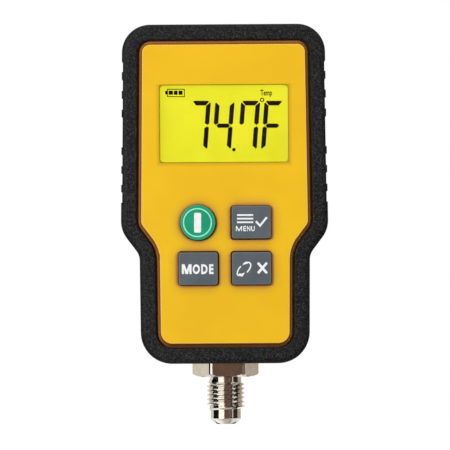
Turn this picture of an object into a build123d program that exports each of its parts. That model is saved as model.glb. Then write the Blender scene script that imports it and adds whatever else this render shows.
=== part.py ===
from build123d import *
from math import atan, copysign, cos, degrees, radians, tan
import os

os.makedirs("parts", exist_ok=True)

# A handheld digital pressure gauge in millimetres. It stands upright on its fitting, front towards -Y.
# The origin is on the fitting's axis, at the lower end of its full thread.

# How far a cutting shape runs past what it cuts
overshoot = 1.0

# Pressure fitting: quarter inch flare, 7/16-20 thread
thread_diameter = 11.11
thread_length = 6.8
thread_chamfer = 0.5
pilot_diameter = 8.9
pilot_length = 3.1
nose_diameter = 5.8
nose_angle = 45.0
port_diameter = 4.76
neck_diameter = 9.4
neck_length = 1.8
hex_flats = 17.0
hex_exposed = 4.0
hex_face_diameter = 16.4
hex_chamfer_angle = 30.0
hex_turn = 3.0
shank_diameter = 12.0
shank_length = 9.2
shank_clearance = 0.1
chamber_diameter = 8.8
chamber_depth = 8.5
nut_flats = 16.0
nut_height = 4.0
seal_diameter = 14.4
seal_section = 1.4
seal_clearance = 0.05

# Rubber boot
boot_height = 97.85
boot_depth = 31.0
top_width = 58.4
shoulder_width = 59.8
waist_width = 49.1
foot_width = 48.6
shoulder_rise = 38.5
waist_rise = 31.4
top_corner = 8.1
shoulder_corner = 8.2
waist_corner = 4.8
foot_corner = 9.1
boot_wall = 2.2
boot_lip = 2.0
front_rim = 4.55
rear_rim = 5.0
boot_edge = 1.6
boot_mouth_edge = 0.5
boot_fit = 0.05
boot_hex_gap = 0.5

# Grip ribs on the boot's two sides
grip_rise = 66.9
grip_length = 40.7
grip_recess = 0.32
rib_width = 2.1
rib_pitch = 5.42
rib_count = 3

# Hard case
case_wall = 2.0
case_edge = 0.8
face_wall = 1.8
face_height = 2.5
face_gap = 0.25
face_inset = 1.0
face_edge = 0.45
tongue_height = 1.5
tongue_wall = 0.8
tongue_gap = 0.1
fitting_pad_diameter = 21.0
fitting_pad_thickness = 3.0

# Case screws
screw_diameter = 2.5
screw_head_diameter = 5.0
screw_head_height = 1.8
screw_gap = 0.05
screw_bite = 6.0
screw_sink = 0.4
screw_recess_gap = 0.3
boss_diameter = 6.0
upper_screw_inset = 9.0
upper_screw_rise = 88.8
lower_screw_inset = 8.9
lower_screw_rise = 11.1

# Display
window_height = 22.5
window_rise = 69.2
window_corner = 0.9
window_recess = 0.5
window_gap = 0.15
window_flange = 1.4
window_flange_thickness = 1.0
glass_height = 28.0
glass_thickness = 1.1
glass_gap = 0.1
contact_ledge = 3.4
backlight_thickness = 3.5
frame_wall = 1.2
frame_side_gap = 0.3
zebra_thickness = 2.0
zebra_end_gap = 2.0

# Keys
key_width = 11.4
key_height = 9.5
key_corner = 0.7
power_diameter = 10.2
key_x = 7.7
upper_key_rise = 40.7
lower_key_rise = 27.4
key_proud = 1.2
key_gap = 0.22
key_spread = 0.1
key_edge = 0.35
key_flange = 0.8
key_flange_thickness = 0.8
key_rest_gap = 0.1
key_travel = 0.8
key_foot_inset = 0.7
key_foot_depth = 1.1

# Rubber key mat with a dome under each key
mat_half_width = 15.4
mat_margin = 1.3
mat_thickness = 1.0
mat_corner = 2.0
dome_top_diameter = 6.8
dome_foot_diameter = 9.4
dome_web = 0.5
plunger_diameter = 4.4
pill_diameter = 3.2
pill_thickness = 0.5
pill_stop_gap = 0.05

# Circuit boards
board_thickness = 1.6
board_gap = 0.5
board_bottom_rise = 15.1
board_top_rise = 92.5
board_boss_gap = 0.4
post_diameter = 4.4
post_screw_diameter = 1.8
post_screw_head_diameter = 3.6
post_screw_head_height = 1.2
post_screw_bite = 3.2
post_inset = 8.4
upper_post_rise = 49.5
lower_post_rise = 18.1
processor_size = 9.0
processor_height = 1.4
processor_rise = 66.9
converter_width = 6.2
converter_length = 5.0
converter_height = 1.2
converter_x = -9.5
converter_rise = 24.9
sensor_board_width = 18.0
sensor_board_depth = 14.0
sensor_board_rise = 15.9
connector_width = 12.6
connector_height = 2.5
connector_depth = 2.5

# Sensor sealed in the fitting
header_thickness = 2.4
header_gap = 0.05
sensor_can_diameter = 5.4
sensor_can_length = 4.0
pin_diameter = 0.5
pin_circle = 5.0
pin_clearance = 0.1
pin_end = 0.8

# Battery bay, three AAA cells side by side
cell_diameter = 10.5
cell_length = 43.3
cell_tip_diameter = 3.8
cell_tip_length = 1.2
cell_spacing = 11.2
cell_gap = 0.3
cell_edge = 0.4
bay_side_gap = 0.75
bay_rise = 33.5
bay_wall = 2.2
bay_floor_wall = 1.2
contact_thickness = 0.4
contact_width = 8.4
contact_depth = 8.6
tail_width = 2.0
tail_gap = 0.2
spring_length = 4.4
spring_foot_diameter = 7.6
spring_top_diameter = 4.6
spring_wire = 0.7
door_overlap = 1.3
door_gap = 0.15
door_corner = 2.5
door_tab_width = 12.0
door_tab_length = 6.4
door_screw_drop = 2.7
door_screw_boss_depth = 8.0
hook_width = 5.0
hook_thickness = 1.0
hook_reach = 1.3
hook_spread = 20.0
hook_gap = 0.15
pull_width = 12.0
pull_pitch = 1.8
pull_count = 4
pull_depth = 0.5

# Heights worked out from the sizes above
neck_top = thread_length + neck_length
boot_bottom = neck_top + hex_exposed
boot_top = boot_bottom + boot_height
case_bottom = boot_bottom + boot_wall + boot_fit
pad_top = case_bottom + fitting_pad_thickness
shank_top = case_bottom + shank_length
chamber_bottom = shank_top - chamber_depth
hex_corner_radius = hex_flats / 2 / cos(radians(30))
grip_height = boot_bottom + grip_rise
window_z = boot_bottom + window_rise
upper_key_z = boot_bottom + upper_key_rise
lower_key_z = boot_bottom + lower_key_rise
keypad_z = (upper_key_z + lower_key_z) / 2
upper_screw_z = boot_bottom + upper_screw_rise
lower_screw_z = boot_bottom + lower_screw_rise
board_bottom = boot_bottom + board_bottom_rise
board_top = boot_bottom + board_top_rise
upper_post_z = boot_bottom + upper_post_rise
lower_post_z = boot_bottom + lower_post_rise
processor_z = boot_bottom + processor_rise
converter_z = boot_bottom + converter_rise
sensor_board_z = boot_bottom + sensor_board_rise
bay_bottom = boot_bottom + bay_rise

# How far the boot's side stands from the middle at some height above its foot
def half_width(rise):
    if rise >= shoulder_rise:
        share = (rise - shoulder_rise) / (boot_height - shoulder_rise)
        return (shoulder_width + (top_width - shoulder_width) * share) / 2
    if rise >= waist_rise:
        share = (rise - waist_rise) / (shoulder_rise - waist_rise)
        return (waist_width + (shoulder_width - waist_width) * share) / 2
    return (foot_width + (waist_width - foot_width) * rise / waist_rise) / 2


# Places across, worked out from the outline
upper_screw_x = half_width(upper_screw_rise) - upper_screw_inset
lower_screw_x = half_width(lower_screw_rise) - lower_screw_inset
upper_post_x = half_width(upper_post_rise) - post_inset
lower_post_x = half_width(lower_post_rise) - post_inset

# The display fills the room under the face
under_face_inset = front_rim + face_gap + face_inset + face_wall
display_half_width = min(top_width, shoulder_width) / 2 - under_face_inset - frame_side_gap
glass_width = 2 * (display_half_width - frame_wall - glass_gap)
window_width = glass_width - 2 * window_flange
zebra_length = glass_width - 2 * zebra_end_gap

# Depths worked out from the sizes above, negative towards the front
boot_front = -boot_depth / 2
boot_back = boot_depth / 2
case_front = boot_front + boot_lip + boot_fit
case_back = boot_back - boot_lip - boot_fit
face_front = case_front - face_height
face_back = face_front + face_wall
case_inner_front = case_front + case_wall
case_inner_back = case_back - case_wall
window_front = face_front + window_recess
glass_front = face_back + window_flange_thickness
glass_middle = glass_front + glass_thickness
glass_back = glass_middle + glass_thickness
board_front = glass_back + backlight_thickness
board_back = board_front + board_thickness
key_front = face_front - key_proud
key_flange_front = face_back + key_rest_gap
key_flange_back = key_flange_front + key_flange_thickness
key_foot = key_flange_back + key_foot_depth
pill_back = board_front - key_travel - pill_stop_gap
pill_front = pill_back - pill_thickness
cell_axis = case_inner_back - cell_gap - cell_diameter / 2
bay_floor = cell_axis - cell_diameter / 2 - cell_gap

# Battery bay worked out from the cells
cell_bottom = bay_bottom + contact_thickness + spring_length
cell_top = cell_bottom + cell_length + cell_tip_length
bay_top = cell_top + contact_thickness
bay_half_width = cell_spacing + cell_diameter / 2 + bay_side_gap
door_half_width = bay_half_width + door_overlap
door_bottom = bay_bottom - door_overlap
door_top = bay_top + door_overlap
door_screw_z = door_bottom - door_screw_drop
cell_places = [-cell_spacing, 0, cell_spacing]

# Key places, each with its name, x, z and shape
key_places = [
    ("power", -key_x, upper_key_z, "round"),
    ("menu", key_x, upper_key_z, "square"),
    ("mode", -key_x, lower_key_z, "square"),
    ("cancel", key_x, lower_key_z, "square"),
]
case_screw_places = [
    ("upper_left", -upper_screw_x, upper_screw_z),
    ("upper_right", upper_screw_x, upper_screw_z),
    ("lower_left", -lower_screw_x, lower_screw_z),
    ("lower_right", lower_screw_x, lower_screw_z),
]
board_post_places = [
    ("upper_left", -upper_post_x, upper_post_z),
    ("upper_right", upper_post_x, upper_post_z),
    ("lower_left", -lower_post_x, lower_post_z),
    ("lower_right", lower_post_x, lower_post_z),
]


def between(front, back, sketch):
    return extrude(Plane.XZ.offset(-back) * sketch, amount=back - front)


def block(x_min, x_max, y_min, y_max, z_min, z_max):
    centre = Pos((x_min + x_max) / 2, (y_min + y_max) / 2, (z_min + z_max) / 2)
    return centre * Box(x_max - x_min, y_max - y_min, z_max - z_min)


def rod_through(x, z, diameter, front, back):
    return between(front, back, Pos(x, z) * Circle(diameter / 2))


def upright(x, y, diameter, bottom, top):
    return Pos(x, y, (bottom + top) / 2) * Cylinder(diameter / 2, top - bottom)


def plate_shape(x, z, width, height, corner):
    return Pos(x, z) * RectangleRounded(width, height, corner)


def front_edges(solid):
    return solid.faces().sort_by(Axis.Y)[0].edges()


def back_edges(solid):
    return solid.faces().sort_by(Axis.Y)[-1].edges()


def turned(points, x, y):
    profile = Plane.XZ * make_face(Polyline(*points, close=True))
    return Pos(x, y, 0) * revolve(profile, Axis.Z)


def turned_across(points, x, z):
    profile = Plane.XY * make_face(Polyline(*points, close=True))
    return Pos(x, 0, z) * revolve(profile, Axis.Y)


def boot_outline():
    half = [
        (foot_width / 2, boot_bottom),
        (waist_width / 2, boot_bottom + waist_rise),
        (shoulder_width / 2, boot_bottom + shoulder_rise),
        (top_width / 2, boot_top),
    ]
    mirrored = [(-x, z) for x, z in reversed(half)]
    radii = [foot_corner, waist_corner, shoulder_corner, top_corner]
    path = FilletPolyline(*half, *mirrored, radius=radii + radii[::-1], close=True)
    return make_face(path)


outline = boot_outline()


def inset(amount):
    return offset(outline, amount=-amount)


case_shape = inset(boot_wall + boot_fit)
case_room = inset(boot_wall + boot_fit + case_wall)


def grip_cuts():
    middle = inset(grip_recess)
    front = boot_front - overshoot
    back = boot_back + overshoot
    skin = between(front, back, offset(outline, amount=overshoot)) - between(front, back, middle)
    reach = shoulder_width
    low = grip_height - grip_length / 2
    high = grip_height + grip_length / 2
    bands = block(-reach, reach, front, back, low, high)
    for step in range(1, rib_count + 1):
        for side in (-1, 1):
            z = grip_height + side * step * rib_pitch
            bands -= block(-reach, reach, front, back, z - rib_width / 2, z + rib_width / 2)
    return skin & bands


def make_boot():
    boot = between(boot_front, boot_back, outline)
    boot = fillet(front_edges(boot) + back_edges(boot), boot_edge)
    boot -= grip_cuts()
    boot -= between(boot_front + boot_lip, boot_back - boot_lip, inset(boot_wall))
    boot -= between(boot_front - overshoot, boot_front + boot_lip, inset(front_rim))
    rim = boot.faces().filter_by(Axis.Y).sort_by(Axis.Y)[0]
    boot = fillet(rim.inner_wires().edges(), boot_mouth_edge)
    boot -= between(boot_back - boot_lip, boot_back + overshoot, inset(rear_rim))
    hole = 2 * (hex_corner_radius + boot_hex_gap)
    boot -= upright(0, 0, hole, boot_bottom - overshoot, boot_bottom + boot_wall + overshoot)
    return boot


def fitting_pad(front, back):
    pad = upright(0, 0, fitting_pad_diameter, case_bottom, pad_top)
    reach = fitting_pad_diameter
    return pad & block(-reach, reach, front, back, case_bottom - overshoot, pad_top + overshoot)


def fitting_hole():
    hole = shank_diameter + 2 * shank_clearance
    return upright(0, 0, hole, case_bottom - overshoot, pad_top + overshoot)


def key_shape(shape, x, z, grow):
    if shape == "round":
        return Pos(x, z) * Circle(power_diameter / 2 + grow)
    width = key_width + 2 * grow
    height = key_height + 2 * grow
    return plate_shape(x, z, width, height, key_corner + max(grow, 0))


def make_front_case():
    case = between(case_front, 0, case_shape)
    case = fillet(front_edges(case), case_edge)
    draft = degrees(atan(face_inset / face_height))
    foot = Plane.XZ.offset(-case_front) * inset(front_rim + face_gap)
    face = extrude(foot, amount=face_height, taper=draft)
    face = fillet(front_edges(face), face_edge)
    case += face
    case -= between(case_inner_front, overshoot, case_room)
    case -= between(face_back, case_inner_front + overshoot, inset(under_face_inset))
    groove = inset(boot_wall + boot_fit + case_wall - tongue_wall - tongue_gap)
    case -= between(-tongue_height - tongue_gap, overshoot, groove)
    case += fitting_pad(case_inner_front, 0)
    for name, x, z in case_screw_places:
        case += rod_through(x, z, boss_diameter, face_back, 0)
    for name, x, z in board_post_places:
        case += rod_through(x, z, post_diameter, face_back, board_front)
    for name, x, z in case_screw_places:
        case -= rod_through(x, z, screw_diameter + 2 * screw_gap, -screw_bite - screw_sink, overshoot)
    for name, x, z in board_post_places:
        hole = post_screw_diameter + 2 * screw_gap
        case -= rod_through(x, z, hole, board_front - post_screw_bite - screw_sink, board_front + overshoot)
    window_hole = plate_shape(0, window_z, window_width, window_height, window_corner)
    case -= between(face_front - overshoot, face_back + overshoot, window_hole)
    for name, x, z, shape in key_places:
        hole_x = x - copysign(key_spread, x)
        hole_z = z - copysign(key_spread, z - keypad_z)
        case -= between(face_front - overshoot, case_inner_front, key_shape(shape, hole_x, hole_z, key_gap))
    case -= fitting_hole()
    return case


def screw_counterbore(x, z):
    head = screw_head_diameter + 2 * screw_recess_gap
    cut = rod_through(x, z, head, case_back - screw_head_height - screw_sink, case_back + overshoot)
    cut += rod_through(x, z, screw_diameter + 2 * screw_recess_gap, -overshoot, case_back)
    return cut


def door_shape(grow):
    height = door_top - door_bottom + 2 * grow
    middle = (door_top + door_bottom) / 2
    plate = plate_shape(0, middle, 2 * (door_half_width + grow), height, door_corner + grow)
    tab_top = door_bottom + door_corner
    tab_bottom = door_bottom - door_tab_length - grow
    tab_height = tab_top - tab_bottom
    tab = plate_shape(0, (tab_top + tab_bottom) / 2, door_tab_width + 2 * grow, tab_height, door_corner + grow)
    neck = Pos(0, door_bottom) * Rectangle(door_tab_width + 2 * grow, 2 * door_corner)
    return plate + tab + neck


def hook_block(side, grow):
    x = side * hook_spread / 2
    half = hook_width / 2 + grow
    low = case_inner_back - hook_thickness - hook_gap
    return block(x - half, x + half, low - grow, case_inner_back - hook_gap + grow,
                 bay_top - hook_thickness, door_top + hook_reach + grow)


def make_tongue():
    outer = inset(boot_wall + boot_fit + case_wall - tongue_wall)
    tongue = between(-tongue_height, overshoot, outer)
    tongue -= between(-tongue_height - overshoot, 2 * overshoot, case_room)
    half = fitting_pad_diameter / 2 + tongue_gap
    return tongue - block(-half, half, -tongue_height - overshoot, 0, case_bottom, pad_top)


def make_rear_case():
    case = between(0, case_back, case_shape)
    case = fillet(back_edges(case), case_edge)
    case -= between(-overshoot, case_inner_back, case_room)
    case += make_tongue()
    case += fitting_pad(0, case_inner_back)
    for name, x, z in case_screw_places:
        case += rod_through(x, z, boss_diameter, 0, case_inner_back)
    outer = bay_half_width + bay_wall
    case += block(-outer, outer, bay_floor - bay_floor_wall, case_inner_back,
                  bay_bottom - bay_wall, bay_top + bay_wall)
    case += rod_through(0, door_screw_z, boss_diameter, case_inner_back - door_screw_boss_depth, case_inner_back)
    case -= block(-bay_half_width, bay_half_width, bay_floor, case_inner_back, bay_bottom, bay_top)
    case -= between(case_inner_back, case_back + overshoot, door_shape(door_gap))
    for name, x, z in case_screw_places:
        case -= screw_counterbore(x, z)
    hole = screw_diameter + 2 * screw_gap
    case -= rod_through(0, door_screw_z, hole, case_inner_back - screw_bite - screw_sink, case_back)
    for side in (-1, 1):
        case -= hook_block(side, hook_gap)
    for x, z, up in [(cell_places[0], bay_bottom, 1), (cell_places[2], bay_top, -1)]:
        half = tail_width / 2 + tail_gap
        step = (contact_thickness + tail_gap) * up
        case -= block(x - half, x + half, bay_floor - bay_floor_wall - overshoot, bay_floor,
                      min(z, z + step), max(z, z + step))
    case -= fitting_hole()
    return case


def screw(x, z, seat, bite, diameter, head_diameter, head_height):
    solid = rod_through(x, z, diameter, bite, seat)
    head = rod_through(x, z, head_diameter, seat, seat + head_height)
    head = fillet(back_edges(head), head_height / 3)
    return solid + head


def make_case_screw(x, z):
    seat = case_back - screw_head_height - screw_sink
    return screw(x, z, seat, -screw_bite, screw_diameter, screw_head_diameter, screw_head_height)


def make_board_screw(x, z):
    return screw(x, z, board_back, board_front - post_screw_bite, post_screw_diameter,
                 post_screw_head_diameter, post_screw_head_height)


def make_door():
    door = between(case_inner_back, case_back, door_shape(0))
    door -= rod_through(0, door_screw_z, screw_diameter + 2 * screw_recess_gap,
                        case_inner_back - overshoot, case_back + overshoot)
    door -= rod_through(0, door_screw_z, screw_head_diameter + 2 * screw_recess_gap,
                        case_back - screw_head_height + screw_sink, case_back + overshoot)
    for side in (-1, 1):
        door += hook_block(side, 0)
        x = side * hook_spread / 2
        door += block(x - hook_width / 2, x + hook_width / 2, case_inner_back - hook_gap,
                      case_inner_back, bay_top - hook_thickness, bay_top - hook_gap)
    for step in range(pull_count):
        z = door_bottom + door_corner + (step + 1) * pull_pitch
        door -= block(-pull_width / 2, pull_width / 2, case_back - pull_depth, case_back + overshoot,
                      z - pull_pitch / 4, z + pull_pitch / 4)
    return door


def make_door_screw():
    seat = case_back - screw_head_height + screw_sink
    return screw(0, door_screw_z, seat, case_inner_back - screw_bite, screw_diameter,
                 screw_head_diameter, screw_head_height - screw_sink)


def make_window():
    plug_width = window_width - 2 * window_gap
    plug = plate_shape(0, window_z, plug_width, window_height - 2 * window_gap, window_corner)
    flange = plate_shape(0, window_z, window_width + 2 * window_flange,
                         window_height + 2 * window_flange, window_corner + window_flange)
    window = between(window_front, face_back, plug)
    window = chamfer(front_edges(window), window_gap)
    return window + between(face_back, glass_front, flange)


def make_glass():
    glass = between(glass_front, glass_middle, Pos(0, window_z) * Rectangle(glass_width, glass_height))
    short = glass_height - contact_ledge
    glass += between(glass_middle, glass_back,
                     Pos(0, window_z + contact_ledge / 2) * Rectangle(glass_width, short))
    return glass


def make_display_frame():
    inner_width = glass_width + 2 * glass_gap
    inner_height = glass_height + 2 * glass_gap
    frame = Pos(0, window_z) * Rectangle(inner_width + 2 * frame_wall, inner_height + 2 * frame_wall)
    frame -= Pos(0, window_z) * Rectangle(inner_width, inner_height)
    return between(glass_front, board_front, frame)


def make_backlight():
    short = glass_height - contact_ledge
    shape = Pos(0, window_z + contact_ledge / 2) * Rectangle(glass_width, short)
    return between(glass_back, board_front, shape)


def make_zebra_strip():
    low = window_z - glass_height / 2
    gap = (contact_ledge - zebra_thickness) / 2
    return block(-zebra_length / 2, zebra_length / 2, glass_middle, board_front,
                 low + gap, low + gap + zebra_thickness)


def make_key(shape, x, z):
    cap = between(key_front, key_flange_back, key_shape(shape, x, z, 0))
    cap = fillet(front_edges(cap), key_edge)
    cap += between(key_flange_front, key_flange_back, key_shape(shape, x, z, key_flange))
    cap += between(key_flange_back, key_foot, key_shape(shape, x, z, -key_foot_inset))
    return cap


def make_pill(x, z):
    return rod_through(x, z, pill_diameter, pill_front, pill_back)


def make_mat():
    low = lower_key_z - key_height / 2 - mat_margin
    high = upper_key_z + key_height / 2 + mat_margin
    sheet_front = board_front - mat_thickness
    sheet = plate_shape(0, (low + high) / 2, 2 * mat_half_width, high - low, mat_corner)
    mat = between(sheet_front, board_front, sheet)
    top = dome_top_diameter / 2
    foot = dome_foot_diameter / 2
    plunger = plunger_diameter / 2
    knee = key_foot + mat_thickness
    roof = knee + dome_web
    for name, x, z, shape in key_places:
        mat += turned_across([(0, key_foot), (top, key_foot), (top, knee), (foot, sheet_front),
                              (foot, board_front), (0, board_front)], x, z)
    for name, x, z, shape in key_places:
        mat -= turned_across([(plunger, pill_front), (plunger, roof), (top - dome_web, roof),
                              (foot - dome_web, sheet_front), (foot - dome_web, board_front + overshoot),
                              (0, board_front + overshoot), (0, pill_front)], x, z)
    return mat


def make_main_board():
    shape = inset(boot_wall + boot_fit + case_wall + board_gap)
    limits = Pos(0, (board_bottom + board_top) / 2) * Rectangle(shoulder_width, board_top - board_bottom)
    board = between(board_front, board_back, shape & limits)
    front = board_front - overshoot
    back = board_back + overshoot
    notch = boss_diameter / 2 + board_boss_gap
    low = upper_screw_z - notch
    board -= block(upper_screw_x - notch, shoulder_width, front, back, low, boot_top)
    board -= block(-shoulder_width, notch - upper_screw_x, front, back, low, boot_top)
    for name, x, z in board_post_places:
        board -= rod_through(x, z, post_screw_diameter + 2 * screw_gap, front, back)
    return board


def make_chip(x, z, width, length, height):
    return block(x - width / 2, x + width / 2, board_back, board_back + height, z - length / 2, z + length / 2)


def pin_places():
    return [(loc.position.X, loc.position.Y) for loc in PolarLocations(pin_circle / 2, 4, start_angle=45)]


def make_sensor_board():
    half_depth = sensor_board_depth / 2
    front = max(-half_depth, board_back + board_gap)
    board = block(-sensor_board_width / 2, sensor_board_width / 2, front, half_depth,
                  sensor_board_z, sensor_board_z + board_thickness)
    for x, y in pin_places():
        board -= upright(x, y, pin_diameter + 2 * pin_clearance,
                         sensor_board_z - overshoot, sensor_board_z + board_thickness + overshoot)
    return board


def make_connector():
    bottom = sensor_board_z + board_thickness
    return block(-connector_width / 2, connector_width / 2, board_back, board_back + connector_depth,
                 bottom, bottom + connector_height)


def make_sensor():
    header_bottom = shank_top - header_thickness
    sensor = upright(0, 0, chamber_diameter - 2 * header_gap, header_bottom, shank_top)
    sensor += upright(0, 0, sensor_can_diameter, header_bottom - sensor_can_length, header_bottom)
    for x, y in pin_places():
        sensor += upright(x, y, pin_diameter, header_bottom, sensor_board_z + board_thickness + pin_end)
    return sensor


def make_fitting():
    thread_radius = thread_diameter / 2
    pilot_radius = pilot_diameter / 2
    nose_radius = nose_diameter / 2
    neck_radius = neck_diameter / 2
    pilot_end = -thread_chamfer - pilot_length
    nose_end = pilot_end - (pilot_radius - nose_radius) / tan(radians(nose_angle))
    profile = [
        (0, nose_end),
        (nose_radius, nose_end),
        (pilot_radius, pilot_end),
        (pilot_radius, -thread_chamfer),
        (thread_radius - thread_chamfer, -thread_chamfer),
        (thread_radius, 0),
        (thread_radius, thread_length),
        (neck_radius, thread_length + (thread_radius - neck_radius) / 2),
        (neck_radius, neck_top),
        (shank_diameter / 2, neck_top),
        (shank_diameter / 2, shank_top),
        (0, shank_top),
    ]
    body = turned(profile, 0, 0)
    hexagon = Rot(0, 0, hex_turn) * RegularPolygon(hex_flats / 2, 6, major_radius=False)
    hexagon = Pos(0, 0, neck_top) * extrude(hexagon, amount=case_bottom - neck_top)
    face_radius = hex_face_diameter / 2
    reach = hex_corner_radius
    chamfer_top = neck_top + (reach - face_radius) * tan(radians(hex_chamfer_angle))
    limit = turned([(0, neck_top), (face_radius, neck_top), (reach, chamfer_top),
                    (reach, case_bottom), (0, case_bottom)], 0, 0)
    body += hexagon & limit
    groove_outer = (seal_diameter + seal_section) / 2 + seal_clearance
    groove_inner = (seal_diameter - seal_section) / 2 - seal_clearance
    groove_bottom = case_bottom - seal_section - seal_clearance
    body -= turned([(groove_inner, groove_bottom), (groove_outer, groove_bottom),
                    (groove_outer, case_bottom), (groove_inner, case_bottom)], 0, 0)
    body -= upright(0, 0, chamber_diameter, chamber_bottom, shank_top + overshoot)
    body -= upright(0, 0, port_diameter, nose_end - overshoot, chamber_bottom + overshoot)
    return body


def make_seal():
    ring = Torus(seal_diameter / 2, seal_section / 2)
    return Pos(0, 0, case_bottom - seal_section / 2) * ring


def make_nut():
    hexagon = RegularPolygon(nut_flats / 2, 6, major_radius=False)
    nut = Pos(0, 0, pad_top) * extrude(hexagon, amount=nut_height)
    hole = shank_diameter + 2 * shank_clearance
    return nut - upright(0, 0, hole, pad_top - overshoot, pad_top + nut_height + overshoot)


def make_cell(x, upward):
    body = upright(x, cell_axis, cell_diameter, cell_bottom, cell_bottom + cell_length)
    body = fillet(body.edges(), cell_edge)
    body += upright(x, cell_axis, cell_tip_diameter, cell_bottom + cell_length, cell_top)
    return body if upward else flipped(body)


def flipped(body):
    return mirror(body, Plane.XY.offset((bay_bottom + bay_top) / 2))


def make_spring(x, upward):
    foot = bay_bottom + contact_thickness
    outer_foot = spring_foot_diameter / 2
    outer_top = spring_top_diameter / 2
    spring = turned([(outer_foot - spring_wire, foot), (outer_foot, foot),
                     (outer_top, cell_bottom), (outer_top - spring_wire, cell_bottom)], x, cell_axis)
    return spring if upward else flipped(spring)


def contact_strip(x_min, x_max, at_bottom):
    low = bay_bottom if at_bottom else bay_top - contact_thickness
    front = cell_axis - contact_depth / 2
    return block(x_min - contact_width / 2, x_max + contact_width / 2, front, front + contact_depth,
                 low, low + contact_thickness)


def contact_tail(x, at_bottom):
    low = bay_bottom if at_bottom else bay_top - contact_thickness
    return block(x - tail_width / 2, x + tail_width / 2, board_back, cell_axis, low, low + contact_thickness)


parts = {
    "rubber_boot": make_boot(),
    "front_case": make_front_case(),
    "rear_case": make_rear_case(),
    "display_window": make_window(),
    "lcd_glass": make_glass(),
    "lcd_frame": make_display_frame(),
    "lcd_backlight": make_backlight(),
    "zebra_strip": make_zebra_strip(),
    "keypad_mat": make_mat(),
    "main_board": make_main_board(),
    "processor_chip": make_chip(0, processor_z, processor_size, processor_size, processor_height),
    "converter_chip": make_chip(converter_x, converter_z, converter_width, converter_length, converter_height),
    "sensor_board": make_sensor_board(),
    "board_connector": make_connector(),
    "sensor_header": make_sensor(),
    "flare_fitting": make_fitting(),
    "fitting_seal": make_seal(),
    "fitting_nut": make_nut(),
    "battery_door": make_door(),
    "door_screw": make_door_screw(),
    "cell_left": make_cell(cell_places[0], True),
    "cell_middle": make_cell(cell_places[1], False),
    "cell_right": make_cell(cell_places[2], True),
    "spring_left": make_spring(cell_places[0], True),
    "spring_middle": make_spring(cell_places[1], False),
    "spring_right": make_spring(cell_places[2], True),
    "contact_bottom_tail": contact_strip(cell_places[0], cell_places[0], True) + contact_tail(cell_places[0], True),
    "contact_bottom_link": contact_strip(cell_places[1], cell_places[2], True),
    "contact_top_link": contact_strip(cell_places[0], cell_places[1], False),
    "contact_top_tail": contact_strip(cell_places[2], cell_places[2], False) + contact_tail(cell_places[2], False),
}

for name, x, z, shape in key_places:
    parts[name + "_key"] = make_key(shape, x, z)
    parts[name + "_pill"] = make_pill(x, z)
for name, x, z in case_screw_places:
    parts["case_screw_" + name] = make_case_screw(x, z)
for name, x, z in board_post_places:
    parts["board_screw_" + name] = make_board_screw(x, z)

for name, solid in parts.items():
    export_step(solid, "parts/" + name + ".step")
    print(name, round(solid.volume, 1), len(solid.solids()))
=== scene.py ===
from math import cos, hypot, pi, radians, sin, tan

import bmesh
import bpy
from mathutils import Matrix, Vector


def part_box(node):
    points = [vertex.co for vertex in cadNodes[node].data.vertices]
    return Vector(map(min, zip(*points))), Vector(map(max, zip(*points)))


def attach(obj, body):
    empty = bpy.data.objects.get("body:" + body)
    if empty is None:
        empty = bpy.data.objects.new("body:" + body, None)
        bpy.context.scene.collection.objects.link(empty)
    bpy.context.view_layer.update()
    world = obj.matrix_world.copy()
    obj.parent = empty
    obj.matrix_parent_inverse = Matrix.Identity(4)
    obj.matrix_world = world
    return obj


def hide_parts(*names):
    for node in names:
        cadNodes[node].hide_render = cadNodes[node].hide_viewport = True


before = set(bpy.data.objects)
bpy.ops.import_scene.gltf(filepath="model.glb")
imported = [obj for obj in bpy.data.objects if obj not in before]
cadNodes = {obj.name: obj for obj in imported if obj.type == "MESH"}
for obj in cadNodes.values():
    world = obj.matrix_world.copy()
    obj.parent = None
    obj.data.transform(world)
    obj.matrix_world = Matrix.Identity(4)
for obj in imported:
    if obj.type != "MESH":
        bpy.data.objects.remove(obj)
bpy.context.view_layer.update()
scene = bpy.context.scene
mm = 0.001
print("frame loaded:", len(cadNodes), "nodes")


# everything below is in millimetres; finishPiece and stagePiece turn a piece into metres

def boxOf(node):
    low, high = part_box(node)
    return Vector(low) / mm, Vector(high) / mm


# camera, matched to the photograph

shot = {
    "distance": 2400,
    "pixel": 0.29,  # millimetres a pixel covers at the middle of the case
    "imageSize": 450,
    "sensor": 36,
    "clipEnd": 100,  # metres
    "middle": (0.12, 52.55),  # x and z at the middle of the image
    "roll": 0.0065,
}
sideways = Vector((cos(shot["roll"]), 0, -sin(shot["roll"])))
upwards = Vector((sin(shot["roll"]), 0, cos(shot["roll"])))
eye = Vector((shot["middle"][0], -shot["distance"], shot["middle"][1]))


def makeCamera():
    camera = bpy.data.cameras.new("gaugeCamera")
    camera.sensor_width = shot["sensor"]
    camera.lens = shot["distance"] / shot["pixel"] * shot["sensor"] / shot["imageSize"]
    camera.clip_end = shot["clipEnd"]
    holder = bpy.data.objects.new("gaugeCamera", camera)
    scene.collection.objects.link(holder)
    turn = Matrix((sideways, upwards, Vector((0, -1, 0)))).transposed()
    holder.matrix_world = Matrix.Translation(eye * mm) @ turn.to_4x4()
    scene.camera = holder


def atPixel(column, row, depth):
    # x and z of a photograph pixel on the plane y = depth
    reach = (depth - eye.y) / shot["distance"] * shot["pixel"]
    middle = shot["imageSize"] / 2
    spot = eye + sideways * (column - middle) * reach + upwards * (middle - row) * reach
    return spot.x, spot.z


makeCamera()
print("camera set")


# materials

noiseRange = (0.3, 0.7)  # nearly all values of a noise texture lie in it


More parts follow.
